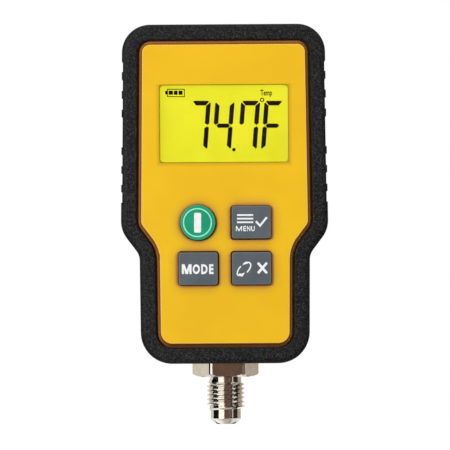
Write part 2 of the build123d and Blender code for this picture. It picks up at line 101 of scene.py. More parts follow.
def tint(red, green, blue):
    # a colour as it looks on a screen, 0 to 255, as the shader wants it
    values = []
    for part in (red, green, blue):
        share = part / 255
        values.append(share / 12.92 if share <= 0.04045 else ((share + 0.055) / 1.055) ** 2.4)
    return (*values, 1)


def treeOf(owner):
    owner.use_nodes = True
    return owner.node_tree.nodes, owner.node_tree.links


def mapRange(nodes, links, value, fromLow, fromHigh, toLow, toHigh):
    node = nodes.new("ShaderNodeMapRange")
    limits = {"From Min": fromLow, "From Max": fromHigh, "To Min": toLow, "To Max": toHigh}
    for socket, number in limits.items():
        node.inputs[socket].default_value = number
    links.new(value, node.inputs["Value"])
    return node.outputs["Result"]


def reckon(nodes, links, operation, first, second):
    # first and second are sockets or numbers
    node = nodes.new("ShaderNodeMath")
    node.operation = operation
    for socket, value in zip(node.inputs, (first, second)):
        if isinstance(value, (int, float)):
            socket.default_value = value
        else:
            links.new(value, socket)
    return node.outputs[0]


class Finish:
    # one procedural material: patches of colour, and a grain in roughness and bump

    def __init__(self, name, look):
        self.material = bpy.data.materials.new(name)
        self.nodes, self.links = treeOf(self.material)
        self.shader = self.nodes["Principled BSDF"]
        self.coordinates = self.nodes.new("ShaderNodeTexCoord")
        self.place = self.coordinates.outputs["Object"]
        self.set("Metallic", look.get("metallic", 0))
        self.set("Specular IOR Level", look.get("specular", 0.5))
        for socket, value in look.get("sockets", {}).items():
            self.set(socket, value)
        grain = self.noise(look["grainSize"], look.get("grainDetail", 2))
        if "colour" in look:
            # without a patch size the colour follows the grain
            mottle = self.noise(look["patchSize"], 2) if "patchSize" in look else grain
            start, end = look.get("patchSpread", (0.36, 0.64))
            # the material's own colour, into which the methods below paint shade and highlight
            self.colourAndShade = self.ramp(mottle, look["colour"], look["patchColour"], start, end)
            self.paint(self.colourAndShade)
        rough = self.spread(grain, *noiseRange, *look["roughness"])
        self.links.new(rough, self.shader.inputs["Roughness"])
        self.bump(grain, look["grainHeight"])

    def set(self, socket, value):
        self.shader.inputs[socket].default_value = value

    def noise(self, size, detail, stretch=(1, 1, 1)):
        # stretch makes the pattern longer along an axis
        mapping = self.nodes.new("ShaderNodeMapping")
        mapping.inputs["Scale"].default_value = [1 / (size * mm * share) for share in stretch]
        self.links.new(self.place, mapping.inputs["Vector"])
        node = self.nodes.new("ShaderNodeTexNoise")
        node.inputs["Scale"].default_value = 1
        node.inputs["Detail"].default_value = detail
        self.links.new(mapping.outputs["Vector"], node.inputs["Vector"])
        return node.outputs["Fac"]

    def ramp(self, value, first, second, start, end):
        node = self.nodes.new("ShaderNodeValToRGB")
        node.color_ramp.elements[0].position = start
        node.color_ramp.elements[0].color = first
        node.color_ramp.elements[1].position = end
        node.color_ramp.elements[1].color = second
        self.links.new(value, node.inputs["Fac"])
        return node.outputs["Color"]

    def spread(self, value, fromLow, fromHigh, toLow, toHigh):
        return mapRange(self.nodes, self.links, value, fromLow, fromHigh, toLow, toHigh)

    def combine(self, operation, first, second):
        return reckon(self.nodes, self.links, operation, first, second)

    def paint(self, colour, socket="Base Color"):
        self.links.new(colour, self.shader.inputs[socket])

    def blend(self, share, first, second):
        mix = self.nodes.new("ShaderNodeMix")
        mix.data_type = "RGBA"
        self.links.new(share, mix.inputs[0])
        for socket, colour in ((mix.inputs[6], first), (mix.inputs[7], second)):
            if isinstance(colour, tuple):
                socket.default_value = colour
            else:
                self.links.new(colour, socket)
        return mix.outputs[2]

    def paintWallShadeAndRimHighlight(self, wallShade, rim):
        # side walls get a painted shade, and the thin rim where they round over gets a painted highlight
        wallEnds, frontStarts = (0.82, 0.9), (0.985, 0.9995)  # how squarely the surface faces front
        split = self.nodes.new("ShaderNodeSeparateXYZ")
        self.links.new(self.coordinates.outputs["Normal"], split.inputs[0])
        facing = self.combine("ABSOLUTE", split.outputs["Y"], 0)
        edge = self.blend(self.spread(facing, *wallEnds, 0, 1), wallShade, rim)
        self.colourAndShade = self.blend(self.spread(facing, *frontStarts, 0, 1), edge, self.colourAndShade)
        self.paint(self.colourAndShade)

    def shadeCrevices(self, reach, shadow, start, end):
        # painted shade: the colour deepens where another surface stands close by
        near = self.nodes.new("ShaderNodeAmbientOcclusion")
        near.inputs["Distance"].default_value = reach * mm
        near.samples = 12
        openness = near.outputs["AO"]
        self.colourAndShade = self.blend(self.spread(openness, start, end, 0, 1), shadow, self.colourAndShade)
        self.paint(self.colourAndShade)
        return openness

    def shadeFrame(self, low, high, reach, shadow):
        # painted shade: a soft band beside and below the opening between two corners, deepest at its edge
        topSteepness = 6  # ends the band just over the top edge
        split = self.nodes.new("ShaderNodeSeparateXYZ")
        self.links.new(self.place, split.inputs[0])
        offset = self.combine("SUBTRACT", split.outputs["X"], (low.x + high.x) / 2 * mm)
        across = self.combine("ABSOLUTE", offset, 0)
        beside = self.combine("SUBTRACT", across, (high.x - low.x) / 2 * mm)
        below = self.combine("SUBTRACT", low.z * mm, split.outputs["Z"])
        over = self.combine("SUBTRACT", split.outputs["Z"], high.z * mm)
        above = self.combine("MULTIPLY", over, topSteepness)
        away = self.combine("MAXIMUM", self.combine("MAXIMUM", beside, below), above)
        self.colourAndShade = self.blend(self.spread(away, 0, reach * mm, 0, 1), shadow, self.colourAndShade)
        self.paint(self.colourAndShade)

    def bump(self, value, height):
        node = self.nodes.new("ShaderNodeBump")
        node.inputs["Strength"].default_value = 1
        node.inputs["Distance"].default_value = height * mm
        self.links.new(value, node.inputs["Height"])
        before = self.shader.inputs["Normal"].links
        if before:
            self.links.new(before[0].from_socket, node.inputs["Normal"])
        self.links.new(node.outputs["Normal"], self.shader.inputs["Normal"])


yellow = {
    "colour": tint(236, 185, 12), "patchColour": tint(242, 192, 16), "patchSize": 22,
    "grainSize": 0.3, "grainHeight": 0.006, "roughness": (0.34, 0.46), "specular": 0.22,
}
looks = {
    "bootRubber": {
        "colour": tint(1, 1, 2), "patchColour": tint(68, 68, 70), "patchSpread": (0.46, 0.82),
        "grainSize": 0.34, "grainHeight": 0.05, "roughness": (0.5, 0.75), "specular": 0.18,
    },
    "yellowPlastic": yellow,
    "facePlastic": yellow,
    "keyPlastic": {
        "colour": tint(80, 90, 96), "patchColour": tint(89, 98, 104), "patchSize": 5,
        "grainSize": 0.25, "grainHeight": 0.008, "roughness": (0.4, 0.54), "specular": 0.22,
    },
    "greenKeyPlastic": {
        "colour": tint(8, 149, 111), "patchColour": tint(15, 157, 117), "patchSize": 5,
        "grainSize": 0.25, "grainHeight": 0.006, "roughness": (0.34, 0.48), "specular": 0.22,
    },
    "clearWindow": {
        "grainSize": 4, "grainHeight": 0.001, "roughness": (0.015, 0.04), "specular": 0.2,
        "sockets": {"Base Color": (0.97, 0.98, 0.97, 1), "Transmission Weight": 1, "IOR": 1.49},
    },
    "matRubber": {
        "colour": tint(62, 64, 68), "patchColour": tint(72, 74, 78), "patchSize": 6,
        "grainSize": 0.4, "grainHeight": 0.01, "roughness": (0.6, 0.75), "specular": 0.35,
    },
    "carbonPill": {
        "colour": tint(24, 24, 26), "patchColour": tint(34, 34, 36), "patchSize": 1,
        "grainSize": 0.12, "grainHeight": 0.01, "roughness": (0.7, 0.85), "specular": 0.3,
    },
    "contactRubber": {
        "colour": tint(214, 208, 196), "patchColour": tint(196, 190, 178), "patchSize": 2,
        "grainSize": 0.3, "grainHeight": 0.006, "roughness": (0.5, 0.65),
    },
    "framePlastic": {
        "colour": tint(30, 31, 33), "patchColour": tint(38, 39, 41), "patchSize": 8,
        "grainSize": 0.3, "grainHeight": 0.01, "roughness": (0.45, 0.6),
    },
    "backlightPlastic": {
        "colour": tint(226, 232, 214), "patchColour": tint(236, 240, 226), "patchSize": 8,
        "grainSize": 0.5, "grainHeight": 0.004, "roughness": (0.3, 0.42),
    },
    "circuitBoard": {
        "colour": tint(14, 84, 44), "patchColour": tint(22, 100, 54), "patchSize": 3.5,
        "grainSize": 0.6, "grainHeight": 0.012, "roughness": (0.28, 0.44),
    },
    "chipPlastic": {
        "colour": tint(30, 30, 31), "patchColour": tint(40, 40, 41), "patchSize": 2,
        "grainSize": 0.15, "grainHeight": 0.006, "roughness": (0.5, 0.64),
    },
    "zincSteel": {
        "colour": tint(186, 188, 190), "patchColour": tint(206, 207, 206), "patchSize": 1.6,
        "grainSize": 0.25, "grainHeight": 0.003, "roughness": (0.2, 0.34), "metallic": 1,
    },
    "nickelPlate": {
        "colour": tint(226, 222, 214), "patchColour": tint(238, 235, 228), "patchSize": 3,
        "grainSize": 0.5, "grainDetail": 4, "grainHeight": 0.004,
        "roughness": (0.06, 0.16), "metallic": 1,
    },
    "sealRubber": {
        "colour": tint(26, 26, 27), "patchColour": tint(34, 34, 35), "patchSize": 2,
        "grainSize": 0.3, "grainHeight": 0.006, "roughness": (0.45, 0.6),
    },
    "cellSleeve": {
        "colour": tint(44, 66, 104), "patchColour": tint(50, 74, 114), "patchSize": 9,
        "grainSize": 0.5, "grainHeight": 0.003, "roughness": (0.25, 0.36),
    },
    "contactPlate": {
        "colour": tint(200, 198, 192), "patchColour": tint(216, 214, 208), "patchSize": 2.4,
        "grainSize": 0.3, "grainHeight": 0.003, "roughness": (0.16, 0.3), "metallic": 1,
    },
    "segmentInk": {
        "colour": tint(2, 3, 2), "patchColour": tint(5, 6, 4), "patchSize": 1.5,
        "grainSize": 0.2, "grainHeight": 0.001, "roughness": (0.5, 0.6), "specular": 0.1,
    },
    "legendInk": {
        "colour": tint(232, 234, 236), "patchColour": tint(244, 245, 246), "patchSize": 1.2,
        "grainSize": 0.15, "grainHeight": 0.003, "roughness": (0.42, 0.55), "specular": 0.4,
    },
    "mintInk": {
        "colour": tint(138, 226, 198), "patchColour": tint(158, 234, 210), "patchSize": 1.2,
        "grainSize": 0.15, "grainHeight": 0.003, "roughness": (0.42, 0.55), "specular": 0.4,
    },
    # painted shade round the window's opening
    "paintedShadeLine": {
        "colour": tint(176, 144, 12), "patchColour": tint(188, 154, 16), "patchSize": 1.5,
        "grainSize": 0.2, "grainHeight": 0.001, "roughness": (0.5, 0.6), "specular": 0.2,
    },
    "litGlass": {
        "colour": tint(120, 122, 24), "patchColour": tint(132, 134, 28), "patchSize": 9,
        "grainSize": 0.4, "grainHeight": 0.0005, "roughness": (0.2, 0.3), "specular": 0.2,
        "sockets": {"Emission Strength": 0.9},
    },
}
finishes = {name: Finish(name, look) for name, look in looks.items()}

glow = {"size": 16, "dim": tint(230, 227, 32), "bright": tint(247, 241, 42)}


def lightGlass(finish):
    # the backlight is a little uneven from end to end
    uneven = finish.noise(glow["size"], 1)
    finish.paint(finish.ramp(uneven, glow["dim"], glow["bright"], *noiseRange), "Emission Color")


plating = {
    "lineSize": 0.4,
    "lineStretch": (6, 6, 0.25),
    "lineHeight": 0.0015,
    "waveSize": 1.5,
    "waveHeight": 0.011,
}


def scratchNickel(finish):
    # fine turned lines on plating that isn't quite flat
    finish.bump(finish.noise(plating["lineSize"], 2, plating["lineStretch"]), plating["lineHeight"])
    finish.bump(finish.noise(plating["waveSize"], 3), plating["waveHeight"])


windowFlange = 1.4  # of the window, behind the edge of its opening
# painted shade round the window, the keys and the gaps, painted shade on the sides and a painted highlight
# on their rims
faceShades = {
    "windowShade": (1.1, tint(206, 160, 14)),  # width and colour of the painted shade that frames the window
    "reach": 3.2,
    "softShade": (tint(178, 118, 58), 0.7, 0.985),  # painted shade near other surfaces: colour, and how open the face is where it fades
    "gap": (tint(70, 40, 18), 0.35, 0.6),
    "sideOpenness": (0.25, 0.6),
    "closedSideShade": tint(222, 150, 84),
    "openSideShade": tint(152, 90, 30),
    "rim": tint(240, 200, 100),
}


def shadeFace(finish):
    # painted shade deepens the face round the keys and the window; its sides get a browner painted shade
    # and their rims a painted highlight
    low, high = boxOf("display_window")
    flange = Vector((windowFlange, 0, windowFlange))
    finish.shadeFrame(low + flange, high - flange, *faceShades["windowShade"])
    openness = finish.shadeCrevices(faceShades["reach"], *faceShades["softShade"])
    finish.shadeCrevices(faceShades["reach"], *faceShades["gap"])
    share = finish.spread(openness, *faceShades["sideOpenness"], 0, 1)
    sides = finish.blend(share, faceShades["closedSideShade"], faceShades["openSideShade"])
    finish.paintWallShadeAndRimHighlight(sides, faceShades["rim"])


backShades = (2.2, tint(190, 110, 58), 0.42, 0.96)  # painted shade in the back's crevices: reach, colour, and openness as above
keyEdgeShading = {  # painted light and shade on the walls, and a painted highlight on the rim
    "keyPlastic": (tint(104, 88, 58), tint(106, 114, 118)),
    "greenKeyPlastic": (tint(96, 150, 76), tint(24, 168, 126)),
}

lightGlass(finishes["litGlass"])
scratchNickel(finishes["nickelPlate"])
shadeFace(finishes["facePlastic"])
finishes["yellowPlastic"].shadeCrevices(*backShades)
for finishName, edgeShading in keyEdgeShading.items():
    finishes[finishName].paintWallShadeAndRimHighlight(*edgeShading)
print("materials made:", len(finishes))


# finishes of the nodes that come from the CAD

nodeFinishes = {
    "bootRubber": ["rubber_boot"],
    "facePlastic": ["front_case"],
    "yellowPlastic": ["rear_case", "battery_door"],
    "clearWindow": ["display_window"],
    "framePlastic": ["lcd_frame"],
    "backlightPlastic": ["lcd_backlight"],
    "contactRubber": ["zebra_strip"],
    "matRubber": ["keypad_mat"],
    "circuitBoard": ["main_board", "sensor_board"],
    "chipPlastic": ["processor_chip", "converter_chip", "board_connector"],
    "zincSteel": ["sensor_header", "fitting_nut", "board_screw_upper_left", "board_screw_upper_right",
                  "board_screw_lower_left", "board_screw_lower_right"],
    "sealRubber": ["fitting_seal"],
    "cellSleeve": ["cell_left", "cell_middle", "cell_right"],
    "contactPlate": ["contact_bottom_tail", "contact_bottom_link", "contact_top_link", "contact_top_tail"],
    "greenKeyPlastic": ["power_key"],
    "keyPlastic": ["menu_key", "mode_key", "cancel_key"],
    "carbonPill": ["power_pill", "menu_pill", "mode_pill", "cancel_pill"],
}
for finishName, nodeNames in nodeFinishes.items():
    for nodeName in nodeNames:
        mesh = cadNodes[nodeName].data
        mesh.materials.clear()
        mesh.materials.append(finishes[finishName].material)
print("CAD nodes finished:", sum(map(len, nodeFinishes.values())))


# making pieces

mergeDistance = 0.0005
stagger = 0.003  # between prints that cross, so that no two faces coincide
ringSteps = 60
roundSteps = 4  # of a rounded corner of a print
mitreLimit = 0.3  # keeps the corner of a sharp bend short


def finishPiece(name, bm, finishName, body, sharpAngle=32):
    bmesh.ops.remove_doubles(bm, verts=bm.verts, dist=mergeDistance)
    bmesh.ops.recalc_face_normals(bm, faces=bm.faces)
    bmesh.ops.scale(bm, vec=(mm, mm, mm), verts=bm.verts)
    for face in bm.faces:
        face.smooth = True
    for edge in bm.edges:
        if edge.calc_face_angle(0) > radians(sharpAngle):
            edge.smooth = False
    mesh = bpy.data.meshes.new(name)
    bm.to_mesh(mesh)
    bm.free()
    mesh.materials.append(finishes[finishName].material)
    piece = bpy.data.objects.new(name, mesh)
    scene.collection.objects.link(piece)
    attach(piece, body)
    return piece


def camelName(node):
    name = node.title().replace("_", "")
    return name[0].lower() + name[1:]


def vertsOf(made):
    return [part for part in made["geom"] if isinstance(part, bmesh.types.BMVert)]


def edgesOf(parts):
    return [part for part in parts if isinstance(part, bmesh.types.BMEdge)]


def closedLine(bm, corners):
    count = len(corners)
    return [bm.edges.new((corners[i], corners[(i + 1) % count])) for i in range(count)]


def turnAll(bm, degrees, axis):
    bmesh.ops.rotate(bm, cent=(0, 0, 0), matrix=Matrix.Rotation(radians(degrees), 3, axis), verts=bm.verts)


def sweep(bm, parts, angle, steps, axis=(0, 0, 1), climb=0, closed=False):
    # turns an outline round an axis through the origin, and up it by climb at each step
    bmesh.ops.spin(bm, geom=parts, cent=(0, 0, 0), axis=axis, dvec=(0, 0, climb), angle=angle,
                   steps=steps, use_merge=closed, use_duplicate=False)


def coil(bm, corners, edges, climb, turns, steps, newRadius):
    # a capped helix; newRadius gives each vertex its distance from the axis
    sweep(bm, corners + edges, 2 * pi * turns, steps, climb=climb)
    ends = [edge for edge in bm.edges if edge.is_boundary]
    bmesh.ops.holes_fill(bm, edges=ends, sides=0)
    for index, vert in enumerate(bm.verts):
        radius = hypot(vert.co.x, vert.co.y)
        share = newRadius(radius, index // len(corners)) / radius
        vert.co.x *= share
        vert.co.y *= share


def addTo(bm, fresh):
    # joins one bmesh to another
    carrier = bpy.data.meshes.new("carrier")
    fresh.to_mesh(carrier)
    fresh.free()
    bm.from_mesh(carrier)
    bpy.data.meshes.remove(carrier)


# prints, whose outlines are given in pixels of the photograph

def thicken(bm, faces, thickness):
    # gives flat faces a back and sides
    raised = bmesh.ops.extrude_face_region(bm, geom=faces, use_keep_orig=True)
    bmesh.ops.translate(bm, vec=(0, thickness, 0), verts=vertsOf(raised))


def stampPixels(bm, points, front, thickness):
    corners = []
    for column, row in points:
        x, z = atPixel(column, row, front)
        corners.append(bm.verts.new((x, front, z)))
    thicken(bm, [bm.faces.new(corners)], thickness)


def barPixels(left, top, right, bottom, corner=0.0):
    if not corner:
        return [(left, top), (right, top), (right, bottom), (left, bottom)]
    points = []
    for x, y, start in [(right - corner, top + corner, -90), (right - corner, bottom - corner, 0),
                        (left + corner, bottom - corner, 90), (left + corner, top + corner, 180)]:
        for step in range(roundSteps + 1):
            angle = radians(start + step * 90 / roundSteps)
            points.append((x + corner * cos(angle), y + corner * sin(angle)))
    return points


def strokePixels(points, width):
    # a bent line of even width, mitred at its bends
    left, right = [], []
    for index, (x, y) in enumerate(points):
        before = Vector(points[max(index - 1, 0)])
        after = Vector(points[min(index + 1, len(points) - 1)])
        here = Vector((x, y))
        first = (here - before).normalized() if index else (after - here).normalized()
        second = (after - here).normalized() if index < len(points) - 1 else first
        firstNormal = Vector((-first.y, first.x))
        normal = (firstNormal + Vector((-second.y, second.x))).normalized()
        reach = width / 2 / max(normal.dot(firstNormal), mitreLimit)
        left.append((x + normal.x * reach, y + normal.y * reach))
        right.append((x - normal.x * reach, y - normal.y * reach))
    return left + right[::-1]


def ringPixels(bm, column, row, outer, inner, front, thickness):
    fresh = bmesh.new()
    section = [(inner, 0), (outer, 0), (outer, thickness), (inner, thickness)]
    corners = [fresh.verts.new((radius * shot["pixel"], y, 0)) for radius, y in section]
    sweep(fresh, corners + closedLine(fresh, corners), 2 * pi, ringSteps, axis=(0, -1, 0), closed=True)
    x, z = atPixel(column, row, front)
    bmesh.ops.translate(fresh, vec=(x, front, z), verts=fresh.verts)
    addTo(bm, fresh)


def wordPixels(bm, text, left, top, right, bottom, weight, front, thickness):
    # a word in the plain built-in font, fitted to a box in the photograph
    halfDepth = 0.5
    curve = bpy.data.curves.new("word", "FONT")
    curve.body = text
    curve.extrude = halfDepth
    curve.offset = weight
    curve.resolution_u = 3
    holder = bpy.data.objects.new("word", curve)
    scene.collection.objects.link(holder)
    mesh = bpy.data.meshes.new_from_object(holder)
    fresh = bmesh.new()
    fresh.from_mesh(mesh)
    bpy.data.objects.remove(holder)
    bpy.data.curves.remove(curve)
    bpy.data.meshes.remove(mesh)
    bmesh.ops.remove_doubles(fresh, verts=fresh.verts, dist=0.0001)
    turnAll(fresh, 90, "X")
    lowX, highX = min(v.co.x for v in fresh.verts), max(v.co.x for v in fresh.verts)
    lowZ, highZ = min(v.co.z for v in fresh.verts), max(v.co.z for v in fresh.verts)
    bmesh.ops.translate(fresh, vec=(-lowX, halfDepth, -lowZ), verts=fresh.verts)
    startX, startZ = atPixel(left, bottom, front)
    endX, endZ = atPixel(right, top, front)
    wide, tall = (endX - startX) / (highX - lowX), (endZ - startZ) / (highZ - lowZ)
    bmesh.ops.scale(fresh, vec=(wide, thickness, tall), verts=fresh.verts)
    bmesh.ops.translate(fresh, vec=(startX, front, startZ), verts=fresh.verts)
    addTo(bm, fresh)


# display: a glass panel with dark segments printed in front of it

display = {
    "clear": 0.05,  # from the window's back to the panel
    "ledge": 3.4,
    "seam": 0.01,  # between its two plates
    "bevel": 0.08,
    "segmentThickness": 0.02,
    "slant": 0.076,
    "bolder": 0.22,  # pixels added round each segment
    "digitWidth": 18.7,
    "digitTop": 101.1,
    "digitBottom": 148.5,
    "digits": [(188.4, "abc"), (212.1, "bcfg"), (237.75, "abcf"), (261.2, "aefg")],
    "point": (233.9, 149.7, 1.75, 0.05),  # column, row, outer and inner radius
    "degree": (262.1, 99.9, 2.15, 1.15),
    "word": ("Temp", 260.5, 89.7, 272.0, 97.4, 0.022),
}
segments = {  # outlines in pixels from a digit's upper left corner
    "a": [(1.5, 0.8), (2.2, -0.2), (15.9, -0.2), (16.8, 0.8), (13.9, 4.25), (4.7, 4.25)],
    "f": [(0.5, 1.6), (-0.2, 2.6), (-0.2, 22), (1.6, 23.6), (4.15, 22), (4.15, 4.9)],
    "e": [(1.6, 25.4), (-0.2, 27.1), (-0.2, 46.4), (0.8, 47.4), (4.15, 44.1), (4.15, 27.1)],
    "g": [(2.8, 24.6), (4.6, 22.6), (14.2, 22.6), (16, 24.6), (14.2, 26.65), (4.6, 26.65)],
}
for letter, points in segments.items():
    corners = [Vector(point) for point in points]
    middle = sum(corners, Vector((0, 0))) / len(corners)
    segments[letter] = [tuple(c + (c - middle).normalized() * display["bolder"]) for c in corners]
segments["b"] = [(display["digitWidth"] - x, y) for x, y in segments["f"]]
segments["c"] = [(display["digitWidth"] - x, y) for x, y in segments["e"]]
glassLow, glassHigh = boxOf("lcd_glass")
panelFront = glassLow.y + display["clear"]
printFront = panelFront - display["segmentThickness"]


def makePanel():
    # front glass with its contact ledge along the bottom, rear glass behind it
    bm = bmesh.new()
    middle = (glassLow.y + glassHigh.y) / 2
    for low, start, end in [(glassLow.z, panelFront, middle),
                            (glassLow.z + display["ledge"], middle + display["seam"], glassHigh.y)]:
        made = bmesh.ops.create_cube(bm, size=1)
        size = Vector((glassHigh.x - glassLow.x, end - start, glassHigh.z - low))
        bmesh.ops.scale(bm, vec=size, verts=made["verts"])
        centre = Vector((0, (start + end) / 2, (glassHigh.z + low) / 2))
        bmesh.ops.translate(bm, vec=centre, verts=made["verts"])
    bmesh.ops.bevel(bm, geom=bm.edges, offset=display["bevel"], offset_type="OFFSET", segments=1,
                    profile=0.5, affect="EDGES", clamp_overlap=True, material=-1)
    panel = finishPiece("displayPanel", bm, "litGlass", "gauge")
    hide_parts("lcd_glass")


def makeSegments():
    thickness = display["segmentThickness"]
    bm = bmesh.new()
    for left, lit in display["digits"]:
        for letter in lit:
            points = []
            for x, y in segments[letter]:
                lean = display["slant"] * (display["digitBottom"] - display["digitTop"] - y)
                points.append((left + x + lean, display["digitTop"] + y))
            stampPixels(bm, points, printFront, thickness)
    for ring in (display["point"], display["degree"]):
        ringPixels(bm, *ring, printFront, thickness)
    wordPixels(bm, *display["word"], printFront, thickness)
    digits = finishPiece("displaySegments", bm, "segmentInk", "gauge")


battery = {
    "outline": (167.2, 88.9, 184.8, 97.0),
    "outlineWidth": 0.75,
    "bars": [(168.7, 172.9), (173.9, 177.6), (178.6, 182.5)],
    "barTop": 90.7,
    "barBottom": 94.8,
    "nub": (165.2, 90.8, 167.4, 94.6, 0.8),  # the last is the radius of its corners
}


def makeBatterySign():
    thickness = display["segmentThickness"]
    bm = bmesh.new()
    left, top, right, bottom = battery["outline"]
    width = battery["outlineWidth"]
    for bar in [(left, top, right, top + width), (left, bottom - width, right, bottom)]:
        stampPixels(bm, barPixels(*bar), printFront, thickness)
    for bar in [(left, top + width / 2, left + width, bottom - width / 2),
                (right - width, top + width / 2, right, bottom - width / 2)]:
        stampPixels(bm, barPixels(*bar), printFront + stagger, thickness)
    for start, end in battery["bars"]:
        bar = barPixels(start, battery["barTop"], end, battery["barBottom"])
        stampPixels(bm, bar, printFront, thickness)
    stampPixels(bm, barPixels(*battery["nub"]), printFront, thickness)
    sign = finishPiece("batterySign", bm, "segmentInk", "gauge")


# a thin dark line of painted shade round the window's opening
shadeLine = {
    "hidden": 0.4,
    "width": 0.3,
    "corner": 0.9,
    "cornerSteps": 6,
}


def roundedLoop(bm, centre, width, height, corner, front):
    # edges of a rectangle with rounded corners, seen from the front
    verts = []
    for index, (signX, signZ) in enumerate([(1, 1), (1, -1), (-1, -1), (-1, 1)]):
        for step in range(shadeLine["cornerSteps"] + 1):
            angle = pi / 2 * (1 - index - step / shadeLine["cornerSteps"])
            x = centre.x + signX * (width / 2 - corner) + corner * cos(angle)
            z = centre.z + signZ * (height / 2 - corner) + corner * sin(angle)
            verts.append(bm.verts.new((x, front, z)))
    return closedLine(bm, verts)


def makeWindowShadeLine():
    # a narrow dark line behind the window along the edge of its opening: painted shade where the opening's
    # edge shades the display
    low, high = boxOf("display_window")
    width = high.x - low.x - 2 * windowFlange
    height = high.z - low.z - 2 * windowFlange
    bm = bmesh.new()
    loops = []
    for spare, corner in [(shadeLine["hidden"], shadeLine["corner"] + shadeLine["hidden"]),
                          (-shadeLine["width"], shadeLine["corner"])]:
        wide, tall = width + 2 * spare, height + 2 * spare
        loops += roundedLoop(bm, (low + high) / 2, wide, tall, corner, printFront)
    made = bmesh.ops.bridge_loops(bm, edges=loops)
    thicken(bm, made["faces"], display["segmentThickness"])
    finishPiece("windowShadeLine", bm, "paintedShadeLine", "gauge")


makePanel()
makeSegments()
makeBatterySign()
makeWindowShadeLine()
print("display made")


# prints on the keys

legend = {
    "thickness": 0.03,
    "sunk": 0.005,
    "powerRing": (197.4, 222.6, 14.5, 13.2),
    "powerBar": (194.1, 212.8, 201.1, 232.6, 1.4),  # the last as for the battery's nub
    "menuBars": [(237, 214.2, 253.2, 215.9), (237, 217.8, 253.2, 219.5), (237, 221.4, 253.2, 223.1)],
    "menu": {
        "letters": [("M", 235.9, 242.1), ("E", 243.3, 246.2), ("N", 247.0, 250.4), ("U", 251.2, 254.7)],
        "rows": (226.0, 231.2),
        "weight": 0.025,
        "stem": 0.8,
    },
    "check": [(255.9, 221.3), (260.0, 225.7), (266.8, 217.2)],
    "checkWidth": 2.0,
    "mode": {
        "letters": [("M", 181.8, 191.6), ("O", 192.6, 199.9), ("D", 201.2, 207.6), ("E", 209.1, 213.5)],
        "rows": (264.2, 274.1),
        "weight": 0.045,
        "stem": 2.2,
    },
    "loopCentre": (244.0, 269.2),
    "loopSize": (8.6, 4.3),
    "loopTurn": 46,
    "loopSweeps": [(-92, 70), (90, 190)],
    "loopSteps": 16,
    "loopWidth": 1.35,
    "arrows": [
        [(237.6, 275.3), (239.7, 273.2), (240.9, 273.9), (244.9, 272.5), (242.6, 276.5), (239.7, 276.1)],
        [(242.5, 265.4), (243.9, 262.9), (245.7, 261.6), (249.7, 262.4), (247.2, 263.8), (245.2, 264.3)],
    ],
    "cross": [[(257.9, 262.8), (266.9, 273.2)], [(266.9, 262.8), (257.9, 273.2)]],
    "crossWidth": 2.5,
}
capitalM = {"notch": 1.8, "shoulder": 2.25, "top": 1.25}  # shares of its stem's width


def keyFront(key):
    return boxOf(key)[0].y - legend["thickness"] + legend["sunk"]


def boldM(left, top, right, bottom, stem):
    # a capital M whose middle point reaches the foot of the line
    middle = (left + right) / 2
    notch, shoulder = bottom - capitalM["notch"] * stem, top + capitalM["shoulder"] * stem
    half = [(middle - stem / 2, bottom), (left + stem, shoulder), (left + stem, bottom), (left, bottom),
            (left, top), (left + capitalM["top"] * stem, top), (middle, notch)]
    return half + [(2 * middle - x, y) for x, y in half[-2::-1]]


def letterRow(bm, word, front):
    top, bottom = word["rows"]
    for letter, left, right in word["letters"]:
        if letter == "M":
            outline = boldM(left, top, right, bottom, word["stem"])
            stampPixels(bm, outline, front, legend["thickness"])
        else:
            wordPixels(bm, letter, left, top, right, bottom, word["weight"], front, legend["thickness"])


def loopPath(start, end):
    # part of a leaning ellipse, angles counted anticlockwise along it
    column, row = legend["loopCentre"]
    long, short = legend["loopSize"]
    turn = radians(legend["loopTurn"])
    points = []
    for step in range(legend["loopSteps"] + 1):
        angle = radians(start + (end - start) * step / legend["loopSteps"])
        along, across = long * cos(angle), short * sin(angle)
        points.append((column + along * cos(turn) - across * sin(turn),
                       row - along * sin(turn) - across * cos(turn)))
    return points


def makeLegends():
    thickness = legend["thickness"]
    front = keyFront("power_key")
    bm = bmesh.new()
    ringPixels(bm, *legend["powerRing"], front, thickness)
    finishPiece("powerRing", bm, "mintInk", "power_button")
    bm = bmesh.new()
    stampPixels(bm, barPixels(*legend["powerBar"]), front, thickness)
    finishPiece("powerBar", bm, "legendInk", "power_button")

    front = keyFront("menu_key")
    bm = bmesh.new()
    for bar in legend["menuBars"]:
        stampPixels(bm, barPixels(*bar), front, thickness)
    stampPixels(bm, strokePixels(legend["check"], legend["checkWidth"]), front, thickness)
    letterRow(bm, legend["menu"], front)
    finishPiece("menuLegend", bm, "legendInk", "menu_button")

    front = keyFront("mode_key")
    bm = bmesh.new()
    letterRow(bm, legend["mode"], front)
    finishPiece("modeLegend", bm, "legendInk", "mode_button")

    front = keyFront("cancel_key")
    bm = bmesh.new()
    for start, end in legend["loopSweeps"]:
        stampPixels(bm, strokePixels(loopPath(start, end), legend["loopWidth"]), front, thickness)
    for arrow in legend["arrows"]:
        stampPixels(bm, arrow, front + stagger, thickness)
    for index, line in enumerate(legend["cross"]):
        stroke = strokePixels(line, legend["crossWidth"])
        stampPixels(bm, stroke, front + stagger * index, thickness)
    finishPiece("cancelLegend", bm, "legendInk", "cancel_button")


makeLegends()
print("key prints made")


# fitting: a turned and plated body with a milled hexagon and a real thread

